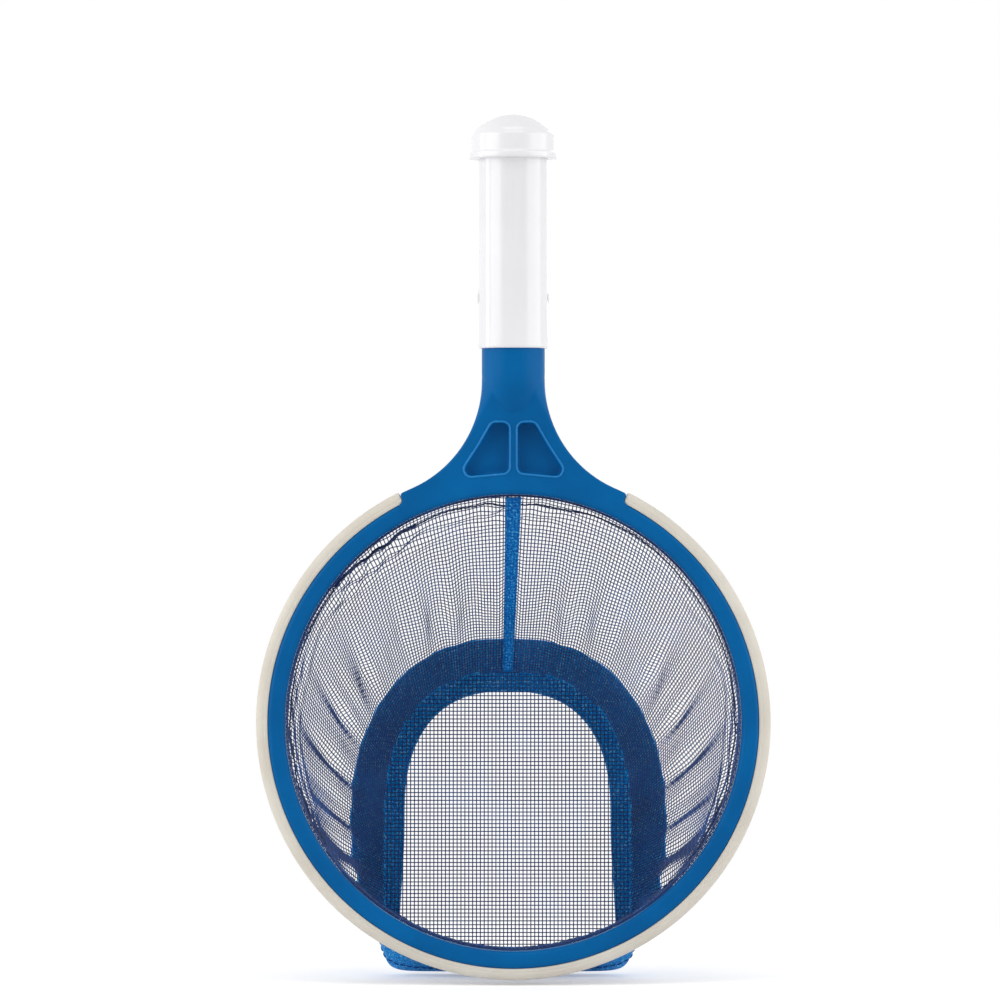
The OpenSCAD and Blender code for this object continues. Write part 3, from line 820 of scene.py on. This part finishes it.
def wall_half(name, first, last):
    """The wales and rows of one half of the wall, woven over and under each other. Its rows
    start one mesh early, so that each half laps over the other and no gap is left."""
    wales = np.arange(first - 1, last)
    a, s = np.meshgrid((wales + 0.5) * math.tau / WALES, row_at, indexing="ij")
    places, normals = wall(a, s, -0.4), wall_normal(a, s)
    crossing = (np.add.outer(wales, np.arange(len(row_at))) % 2) == 0
    rise = normals * np.where(crossing, WEAVE, -WEAVE)[..., None]
    over, under = places + rise, places - rise
    inside = s < wall_length(a) - 0.3
    paths = [over[i][inside[i]] for i in range(1, len(wales))]
    ups = [normals[i][inside[i]] for i in range(1, len(wales))]
    for j in range(len(row_at)):
        keep = np.flatnonzero(inside[:, j])
        for run in np.split(keep, np.flatnonzero(np.diff(keep) > 1) + 1):
            if len(run) > 2:
                paths.append(under[run, j])
                ups.append(normals[run, j])
    return mesh_of(name, *threads(paths, ups, THREAD_R))

for piece in (wall_half("net_wall_right", 0, WALES // 2), wall_half("net_wall_left", WALES // 2, WALES)):
    finish_piece(piece, "navy_net", net_thread, "net_wall", degrees=80)

# %% The rear panel's threads
def panel_line(k, upright, t):
    """The k-th thread from the middle, as sideways place and rise, t along it."""
    return (k * PITCH + 0 * t, t) if upright else (t, k * PITCH + 0 * t)

def panel_place(u, v, lift):
    """A point of the panel, which bulges a little and isn't quite even."""
    r, a = np.hypot(u, v), np.arctan2(u, v)
    dish = 1.3 * np.clip(1 - (r / (outline_r(a) - 1)) ** 2, 0, 1)
    wave = 0.35 * np.sin(u / 9 + 1.3 * np.sin(v / 17)) * np.cos(v / 12)
    return rear_point(a, r, -0.5) + (dish + wave + lift)[..., None] * panel_normal

def panel_threads():
    """Threads both ways, each run out to the outline, where the binding grips it."""
    fine = np.linspace(-70, 70, 1401)
    paths = []
    for upright in (0, 1):
        for k in range(-40, 41):
            u, v = panel_line(k, upright, fine)
            held = fine[np.hypot(u, v) < outline_r(np.arctan2(u, v)) - 0.3]
            if len(held) < 50:
                continue
            knots = np.arange(-41, 42)
            knots = knots[(knots * PITCH > held[0] + 0.3) & (knots * PITCH < held[-1] - 0.3)]
            t = np.concatenate([held[:1], knots * PITCH, held[-1:]])
            lift = np.where((knots + k + upright) % 2 == 0, WEAVE, -WEAVE)
            paths.append(panel_place(*panel_line(k, upright, t), np.concatenate([[0], lift, [0]])))
    return paths, [np.tile(panel_normal, (len(path), 1)) for path in paths]

panel_normal = rear_point(np.array(0.0), 0.0, 1.0) - rear_point(np.array(0.0), 0.0)
panel = mesh_of("net_panel", *threads(*panel_threads(), THREAD_R))
finish_piece(panel, "panel_net", net_thread, "net_base", degrees=80)

# %% [markdown]
# ## Bindings, seam tape and hem
# A wide woven binding is folded over the edge where wall meets panel, and a narrow tape
# covers the wall's joining seam. Single threads would be too many for cloth this dense, so
# each is a band from a grid of points. Its own UV map in metres lets the ribs of the weave
# follow it round, and its stitches are real.

# %% A band of cloth from a grid of points
def path_lengths(path):
    """How far along a path of points each point lies."""
    return np.concatenate([[0], np.cumsum(np.linalg.norm(np.diff(path, axis=0), axis=1))])

def band(name, grid, loop, thick):
    """A band of cloth. grid[i][j] lies in the middle of it, i along the band and j across."""
    n, m = grid.shape[:2]
    along = np.roll(grid, -1, 0) - np.roll(grid, 1, 0) if loop else np.gradient(grid, axis=0)
    normal = np.cross(along, np.gradient(grid, axis=1))
    normal /= np.linalg.norm(normal, axis=-1, keepdims=True) + 1e-12
    u, v = np.meshgrid(path_lengths(grid[:, m // 2]) * MM, path_lengths(grid[n // 2]) * MM, indexing="ij")
    points = np.concatenate([(grid + normal * thick / 2).reshape(-1, 3),
                             (grid - normal * thick / 2).reshape(-1, 3)])
    uv = np.tile(np.stack([u, v], -1).reshape(-1, 2), (2, 1))

    def quads(*corners):
        """Faces from four corners, each as places along, places across and side 0 or 1."""
        return np.stack([side * n * m + (i % n) * m + j for i, j, side in corners], -1).reshape(-1, 4)
    k, q = np.arange(n if loop else n - 1), np.arange(m - 1)
    i, j = np.meshgrid(k, q, indexing="ij")
    faces = [quads((i, j, 0), (i + 1, j, 0), (i + 1, j + 1, 0), (i, j + 1, 0)),
             quads((i, j, 1), (i, j + 1, 1), (i + 1, j + 1, 1), (i + 1, j, 1)),
             quads((k, 0, 1), (k + 1, 0, 1), (k + 1, 0, 0), (k, 0, 0)),
             quads((k, m - 1, 0), (k + 1, m - 1, 0), (k + 1, m - 1, 1), (k, m - 1, 1))]
    if not loop:
        faces += [quads((0, q, 0), (0, q + 1, 0), (0, q + 1, 1), (0, q, 1)),
                  quads((n - 1, q, 1), (n - 1, q + 1, 1), (n - 1, q + 1, 0), (n - 1, q, 0))]
    return mesh_of(name, points, np.concatenate(faces), uv)

# %% A row of stitches
def stitches(path, normal, long=2.2, gap=0.9, r=0.28):
    """Short stitches along a path: each sinks into the cloth at both ends."""
    step = path_lengths(path)

    def at(t, values):
        return np.stack([np.interp(t, step, values[:, c]) for c in range(3)], -1)
    rise = np.array([-0.275, 0.1375, 0.22, 0.1375, -0.275])[:, None]
    paths, ups = [], []
    for start in np.arange(0.5, step[-1] - long, long + gap):
        t = start + long * np.array([0, 0.12, 0.5, 0.88, 1.0])
        up = at(t, normal)
        paths.append(at(t, path) + up * rise)
        ups.append(up)
    return mesh_of("stitches", *threads(paths, ups, r))

# %% The binding round the rear panel
def binding_grid(n=720):
    """Down the last 20 mm of the wall, round the edge, and 8 mm back over the panel."""
    a = np.arange(n) * math.tau / n
    pleat = 0.20 * np.cos(78 * a + 2 * np.sin(7 * a)) + 0.12 * np.cos(131 * a + 3 * np.sin(4 * a))
    lines = []
    for back in (20, 19.4, 17, 14, 11, 8, 5, 2.5, 0.8):
        swell = 0.8 + 0.2 * math.sin(math.pi * back / 20) + pleat * (0.9 - 0.035 * back)
        lines.append(wall(a, wall_length(a) - back) + swell[:, None] * straight_out(a))
    for inward, off in ((-0.95, 0.9), (-0.2, 1.75), (1.2, 2.1), (3.5, 1.7), (6.0, 1.55),
                        (8.0, 1.3), (8.4, 0.9)):
        lines.append(rear_point(a, outline_r(a) - inward, off) + pleat[:, None] * 0.5 * panel_normal)
    return np.stack(lines, 1)

binding_lines = binding_grid()
binding = band("panel_binding", binding_lines, True, 0.8)
print("binding lines:", binding_lines.shape[1], "of", binding_lines.shape[0], "points")

# %% Its stitches: two rows on the wall and one on the panel
PROUD = 0.45
ring_lines = np.concatenate([binding_lines, binding_lines[:1]])
bag_middle = np.array([0, 40, -190])

def face_out(line):
    """Outward normal of the binding along one of its lines."""
    n = np.cross(np.gradient(ring_lines[:, line], axis=0), ring_lines[:, line + 1] - ring_lines[:, line])
    n /= np.linalg.norm(n, axis=1, keepdims=True)
    return n * np.sign((n * (ring_lines[:, 3] - bag_middle)).sum(1, keepdims=True) + 1e-9)

seams = [stitches(ring_lines[:, line] + face_out(line) * PROUD, face_out(line)) for line in (2, 6)]
backwards = np.tile([0.0, 1, 0], (len(ring_lines), 1))
seams.append(stitches(ring_lines[:, 13] + backwards * PROUD, backwards))
binding_stitches = joined("binding_stitches", *seams)
finish_piece(binding, "binding_tape", binding_cloth, "net_base_seam", degrees=60)
finish_piece(binding_stitches, "binding_tape", stitch_thread, degrees=80)

# %% The tape over the wall's joining seam
TAPE_HALF = 3.5

def tape_grid():
    """From the throat to the binding. The stiff tape bridges the wall's folds."""
    across = np.linspace(-TAPE_HALF, TAPE_HALF, 9)
    s = np.concatenate([np.linspace(-6.0, 0, 5)[:-1], np.linspace(0, wall_length(np.array(0.0)) * 0.97, 60)])
    puff = 0.125 * np.cos(across / TAPE_HALF * math.pi)
    wrinkle = 0.12 * np.sin(s / 2.6) + 0.1 * np.sin(s / 1.1 + 1)
    lines = []
    for x, swell in zip(across, puff):
        a = math.asin(x / MOUTH_R)
        folds = gather(np.array(a), np.clip(s / 95, 0, 1))[:, None] * straight_out(a)
        down = np.outer(swell + wrinkle * (abs(x) < 3), [0, 0, 1])
        lines.append(wall(a, s, -1.35) - folds - down)
    return np.stack(lines, 1)

tape_lines = tape_grid()
seam_tape = band("seam_tape", tape_lines, False, 0.8)
downwards = np.tile([0.0, 0, -1], (len(tape_lines), 1))
tape_rows = [stitches(tape_lines[:, line] + downwards * 0.42, downwards, long=1.8, gap=0.8, r=0.2)
             for line in (1, 7)]
tape_stitches = joined("tape_stitches", *tape_rows)
finish_piece(seam_tape, "seam_tape", tape_cloth, "net_side_seam", degrees=60)
finish_piece(tape_stitches, "seam_tape", stitch_thread, degrees=80)

# %% The hem: its cord in the clamp, and its inner edge
hem_cord = spun("hem_cord", arc(CORD_R, CORD_Y, 1.2, 0, 360, 15)[:-1])

def hem_edge(start, end, steps, r):
    """The hem's inner edge from one angle to another: it wanders over the first few meshes."""
    a = np.linspace(start, end, steps)
    s = 2.4 + 0.9 * np.sin(3 * a + 2.2) + 0.6 * np.sin(8 * a + 0.5) - 0.9 * np.exp(-((a - 5.53) / 0.18) ** 2)
    return stitches(wall(a, s, -0.75), -wall_normal(a, s), long=2.9, gap=0.3, r=r)

hem = joined("hem", hem_cord, hem_edge(0, math.tau, 724, r=0.45), hem_edge(5.36, 5.84, 60, r=0.8))
finish_piece(hem, "hem_cord", hem_thread, "net_hem", degrees=60)

# %% [markdown]
# ## The studio
# A pale floor and soft lamps. Two tall side lamps give the glossy grip its bright edges and
# leave its middle a touch greyer, as a tube looks between two white walls. The background
# is pure white to the camera and in gloss, and only a weaker soft light to all else.

# %% Floor, which fades into white further out
FLOOR_Z, FLOOR_R = -0.2723, 0.62

def mix(factor, first, second):
    """The first shader where the factor is 0, and the second where it is 1."""
    node = add(factor, "MixShader")
    for output, socket in zip((factor, first, second), node.inputs):
        link(output, socket)
    return node.outputs["Shader"]

def fading_floor(name):
    material, shader = new_material(name, Base_Color=srgb(246, 246, 247), Roughness=0.8,
                                    Specular_IOR_Level=0.2)
    seen = add(shader, "LightPath").outputs["Is Camera Ray"]
    glow, white = add(shader, "Emission"), add(shader, "Emission")
    link(maths("MULTIPLY", seen, 0.3), glow.inputs["Strength"])
    near = add(shader, "AddShader")
    link(shader.outputs["BSDF"], near.inputs[0])
    link(glow.outputs["Emission"], near.inputs[1])
    away = add(shader, "VectorMath", operation="LENGTH")
    link(where(shader), away.inputs[0])
    fade = maths("MULTIPLY", seen, spread(away.outputs["Value"], 0, 1, from_low=0.28, from_high=0.5))
    link(mix(fade, near.outputs["Shader"], white.outputs["Emission"]),
         material.node_tree.nodes["Material Output"].inputs["Surface"])
    return material

bpy.ops.mesh.primitive_circle_add(vertices=96, radius=FLOOR_R, fill_type="NGON", location=(0, 0, FLOOR_Z))
floor = bpy.context.object
floor.name = "floor"
bpy.ops.object.transform_apply()
floor.data.materials.append(fading_floor("pale_floor"))
floor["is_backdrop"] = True
print("floor at z =", FLOOR_Z)

# %% World
def white_world(ambient):
    """White to the camera, in gloss and through glass, and a soft light to the rest."""
    world = bpy.context.scene.world or bpy.data.worlds.new("world")
    bpy.context.scene.world = world
    world.use_nodes = True
    world.node_tree.nodes.clear()
    out = world.node_tree.nodes.new("ShaderNodeOutputWorld")
    rays = add(out, "LightPath").outputs
    mirrored = maths("MAXIMUM", rays["Is Glossy Ray"], rays["Is Transmission Ray"])
    lights = [add(out, "Background", Color=(1, 1, 1, 1), Strength=strength).outputs["Background"]
              for strength in (ambient, 1.0)]
    link(mix(maths("MAXIMUM", rays["Is Camera Ray"], mirrored), *lights), out.inputs["Surface"])

white_world(0.44)
print("world nodes:", len(bpy.context.scene.world.node_tree.nodes))

# %% Lamps
SCOOP_MIDDLE = (0, 0, -0.08)

def softbox(name, place, width, height, watts, target=SCOOP_MIDDLE):
    data = bpy.data.lights.new(name, "AREA")
    data.shape, data.size, data.size_y, data.energy = "RECTANGLE", width, height, watts
    lamp = place_new(name, data)
    lamp.location = place
    lamp.rotation_euler = (Vector(target) - Vector(place)).to_track_quat("-Z", "Y").to_euler()
    lamp.visible_camera = False

softbox("left_box", (-1.7, 0.1, 0.1), 0.35, 1.8, watts=6)
softbox("left_wide", (-1.4, -0.8, 0.4), 1.2, 1.4, watts=11)
softbox("right_box", (1.7, 0.1, 0.1), 0.35, 1.8, watts=4)
softbox("right_wide", (1.4, -0.6, 0.3), 1.2, 1.4, watts=9)
softbox("top_box", (0, -0.8, 1.6), 1.2, 1.0, watts=6.5)
softbox("front_box", (0.1, -2.3, -0.05), 1.8, 0.7, watts=1.5, target=(0, 0, -0.12))
softbox("back_box", (0.3, 1.8, 0.6), 1.6, 1.2, watts=6)
print("lamps:", len(bpy.data.lights))

# %% Camera
camera = place_new("camera", bpy.data.cameras.new("camera"))
camera.location = (-0.0057, -2.378, -0.0648)
camera.rotation_euler = (math.radians(90), 0, 0)
camera.data.lens, camera.data.sensor_width = 200, 36
bpy.context.scene.camera = camera
bpy.context.scene.view_settings.view_transform = "Standard"
print("camera lens, mm:", camera.data.lens)

# %% Sizes of the solid model and of the new pieces
bpy.context.view_layer.update()
new_box = [list(corner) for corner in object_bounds()]
for label, box in (("cad", cad_box), ("visual", new_box)):
    print(label, [[round(c * 1000, 1) for c in corner] for corner in box])
